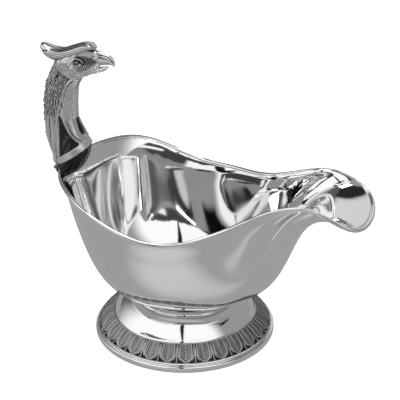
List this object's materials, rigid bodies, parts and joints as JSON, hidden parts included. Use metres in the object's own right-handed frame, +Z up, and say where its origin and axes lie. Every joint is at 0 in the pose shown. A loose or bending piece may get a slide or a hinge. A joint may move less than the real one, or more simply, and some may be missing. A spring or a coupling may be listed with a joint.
{
  "type": "sauce boat",
  "caption": "Footed silver sauce boat with a broad pouring lip, a leaf-bordered round foot and a cast bird's neck and head as the handle.",
  "frame": {"origin": "centre of the foot's resting plane, on the foot's axis", "axes": "+X towards the pouring lip, +Z up, XZ is the plane of symmetry"},
  "size_m": [0.1985, 0.1248, 0.1792],
  "materials": {
    "polished_silver": "mirror-polished silver",
    "satin_silver": "satin silver",
    "feathered_silver": "chased silver with darkened recesses",
    "oxidised_relief": "die-struck silver relief on a darkened ground"
  },
  "bodies": {
    "root": {"bowl": "polished_silver", "rim_band": "polished_silver", "foot_dome": "polished_silver", "leaf_border": "oxidised_relief", "foot_edge_moulding": "polished_silver", "handle_socket": "polished_silver", "handle_collar": "satin_silver", "handle_neck": "feathered_silver", "throat_leaf_left": "polished_silver", "throat_leaf_right": "polished_silver", "back_strap": "polished_silver", "bird_head": "feathered_silver", "upper_beak": "polished_silver", "lower_beak": "polished_silver", "crest": "satin_silver"}
  },
  "joints": []
}
